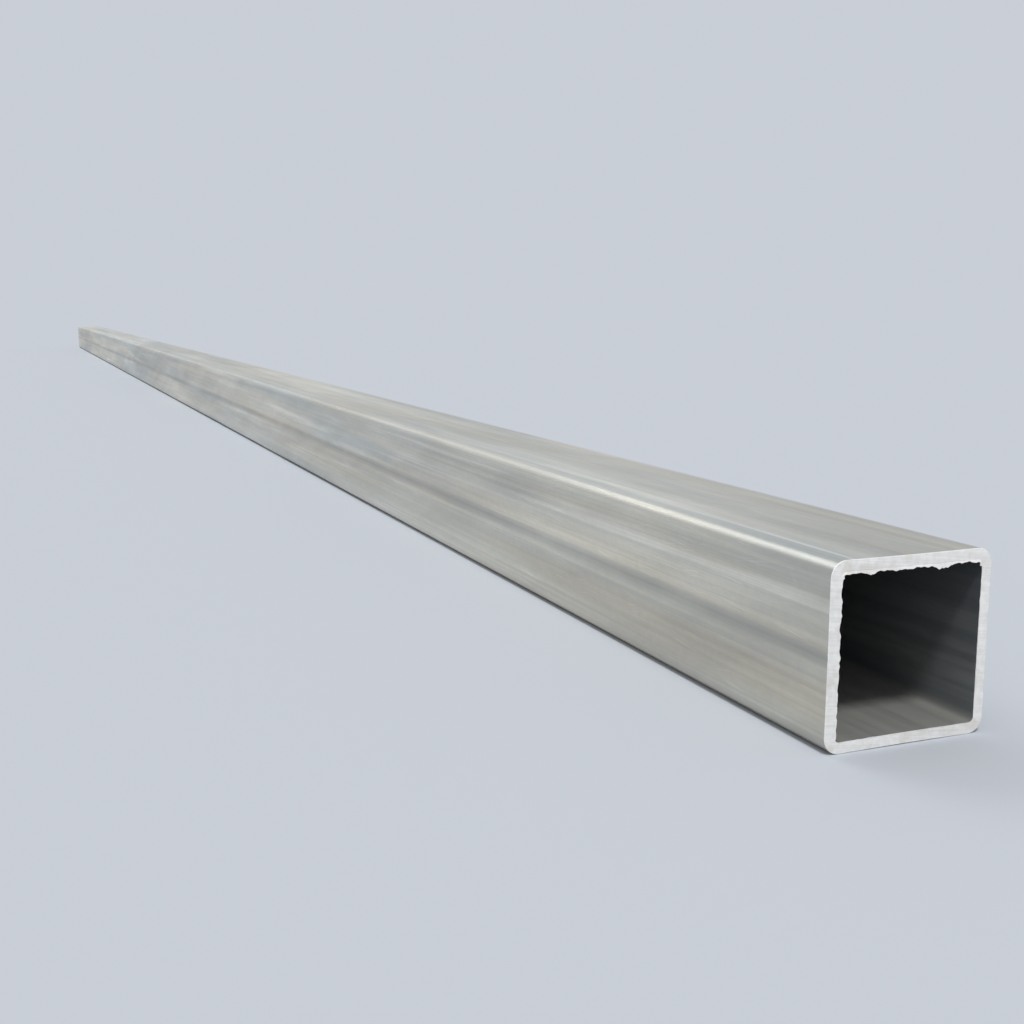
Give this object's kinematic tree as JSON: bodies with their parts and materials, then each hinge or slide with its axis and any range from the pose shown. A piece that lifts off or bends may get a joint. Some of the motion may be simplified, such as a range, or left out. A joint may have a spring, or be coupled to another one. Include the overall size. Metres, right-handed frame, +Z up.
{
  "type": "square metal tube",
  "caption": "Straight length of galvanised, roll-formed square steel tube with rounded edges, an open square bore and square-sawn ends.",
  "frame": {"origin": "on the resting face, under the middle of the length", "axes": "+X along the tube towards the end that is shown, +Z up from the resting face, -Y towards the side with the weld seam"},
  "size_m": [3, 0.05, 0.05],
  "materials": {
    "galvanised_steel": "zinc-coated, satin grey with fine lengthwise roll lines, paler and bluer streaks, bare bright sawn ends"
  },
  "bodies": {
    "root": {"square_tube": "galvanised_steel"}
  },
  "joints": []
}
